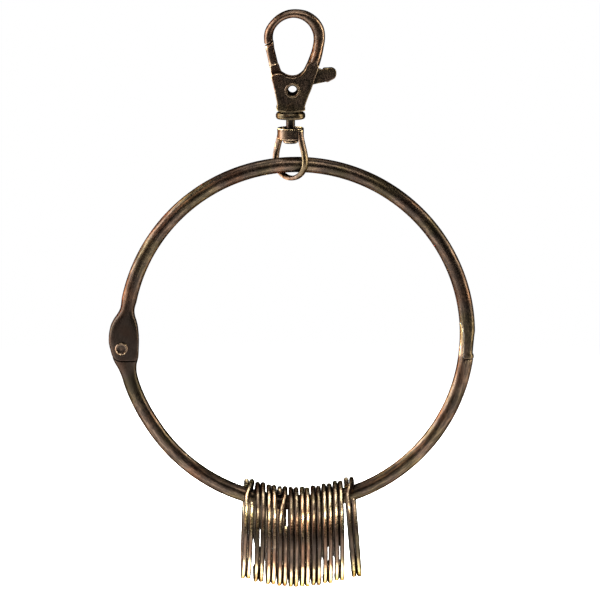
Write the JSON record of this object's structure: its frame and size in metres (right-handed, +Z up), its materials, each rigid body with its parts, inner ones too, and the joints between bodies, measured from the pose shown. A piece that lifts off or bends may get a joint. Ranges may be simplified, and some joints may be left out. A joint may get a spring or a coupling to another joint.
{
  "type": "hinged key ring with swivel clasp and split rings",
  "caption": "Large hinged wire ring that hangs from a swivel trigger clasp and carries a row of split rings for keys or tags.",
  "frame": {"origin": "the point inside the top of the clasp's hook that the whole thing hangs from, on the swivel's axis", "axes": "+Z up along the swivel's axis, +X from the hinge of the big ring towards its latch, +Y across the flat of the big ring, away from the viewer"},
  "size_m": [0.0856, 0.0236, 0.1361],
  "materials": {
    "clasp_brass": "dark antique brass plating over a casting, worn golden on the edges",
    "rivet_brass": "antique brass with a bright rubbed rim",
    "spring_steel": "plain drawn spring wire",
    "swivel_brass": "antique brass, rubbed golden on the rims",
    "ring_brass": "dark antique brass plating on round wire, scratched golden along its inner side",
    "split_ring_brass": "antique brass flat wire, rubbed golden on its corners"
  },
  "bodies": {
    "clasp": {"clasp_body": "clasp_brass", "gate_rivet": "rivet_brass", "gate_spring": "spring_steel", "swivel_post": "swivel_brass"},
    "trigger": {"trigger_gate": "clasp_brass"},
    "swivel": {"swivel_loop": "swivel_brass"},
    "upper_half": {"upper_arc": "ring_brass", "hinge_rivet": "rivet_brass"},
    "lower_half": {"lower_arc": "ring_brass"},
    "split_ring_body_01": {"split_ring_01": "split_ring_brass"},
    "split_ring_body_02": {"split_ring_02": "split_ring_brass"},
    "split_ring_body_03": {"split_ring_03": "split_ring_brass"},
    "split_ring_body_04": {"split_ring_04": "split_ring_brass"},
    "split_ring_body_05": {"split_ring_05": "split_ring_brass"},
    "split_ring_body_06": {"split_ring_06": "split_ring_brass"},
    "split_ring_body_07": {"split_ring_07": "split_ring_brass"},
    "split_ring_body_08": {"split_ring_08": "split_ring_brass"},
    "split_ring_body_09": {"split_ring_09": "split_ring_brass"},
    "split_ring_body_10": {"split_ring_10": "split_ring_brass"}
  },
  "joints": [
    {"name": "trigger_pull", "type": "hinge", "parent": "clasp", "child": "trigger", "pos_m": [0.00045, 0, -0.01665], "axis": [0, 1, 0], "range_deg": [0, 25], "stiffness_Nm_per_rad": 0.05, "springref_deg": -17.19, "deforming": ["gate_spring"]},
    {"name": "swivel_turn", "type": "hinge", "parent": "clasp", "child": "swivel", "pos_m": [0, 0, -0.0275], "axis": [0, 0, 1], "continuous": true},
    {"name": "ring_swing", "type": "hinge", "parent": "swivel", "child": "upper_half", "pos_m": [0, 0, -0.0344], "axis": [1, 0, 0], "range_deg": [-90, 90]},
    {"name": "ring_hinge", "type": "hinge", "parent": "upper_half", "child": "lower_half", "pos_m": [-0.0395, 0, -0.0776], "axis": [0, 1, 0], "range_deg": [0, 55]},
    {"name": "split_ring_01_swing", "type": "hinge", "parent": "lower_half", "child": "split_ring_body_01", "pos_m": [-0.0098, 0, -0.11257], "axis": [0.9998, 0.0209, 0], "range_deg": [-90, 90]},
    {"name": "split_ring_02_swing", "type": "hinge", "parent": "lower_half", "child": "split_ring_body_02", "pos_m": [-0.00715, 0, -0.11325], "axis": [0.9998, 0.0209, 0], "range_deg": [-90, 90]},
    {"name": "split_ring_03_swing", "type": "hinge", "parent": "lower_half", "child": "split_ring_body_03", "pos_m": [-0.00452, 0, -0.11373], "axis": [0.9998, 0.0209, 0], "range_deg": [-90, 90]},
    {"name": "split_ring_04_swing", "type": "hinge", "parent": "lower_half", "child": "split_ring_body_04", "pos_m": [-0.00193, 0, -0.11404], "axis": [0.9998, 0.0209, 0], "range_deg": [-90, 90]},
    {"name": "split_ring_05_swing", "type": "hinge", "parent": "lower_half", "child": "split_ring_body_05", "pos_m": [0.00067, 0, -0.11417], "axis": [0.9998, 0.0209, 0], "range_deg": [-90, 90]},
    {"name": "split_ring_06_swing", "type": "hinge", "parent": "lower_half", "child": "split_ring_body_06", "pos_m": [0.00326, 0, -0.11413], "axis": [0.9998, 0.0209, 0], "range_deg": [-90, 90]},
    {"name": "split_ring_07_swing", "type": "hinge", "parent": "lower_half", "child": "split_ring_body_07", "pos_m": [0.00586, 0, -0.11393], "axis": [0.9998, 0.0209, 0], "range_deg": [-90, 90]},
    {"name": "split_ring_08_swing", "type": "hinge", "parent": "lower_half", "child": "split_ring_body_08", "pos_m": [0.00846, 0, -0.11355], "axis": [0.9998, 0.0209, 0], "range_deg": [-90, 90]},
    {"name": "split_ring_09_swing", "type": "hinge", "parent": "lower_half", "child": "split_ring_body_09", "pos_m": [0.01107, 0, -0.11299], "axis": [0.9998, 0.0209, 0], "range_deg": [-90, 90]},
    {"name": "split_ring_10_swing", "type": "hinge", "parent": "lower_half", "child": "split_ring_body_10", "pos_m": [0.01391, 0, -0.11217], "axis": [0.9998, 0.0209, 0], "range_deg": [-90, 90]}
  ]
}
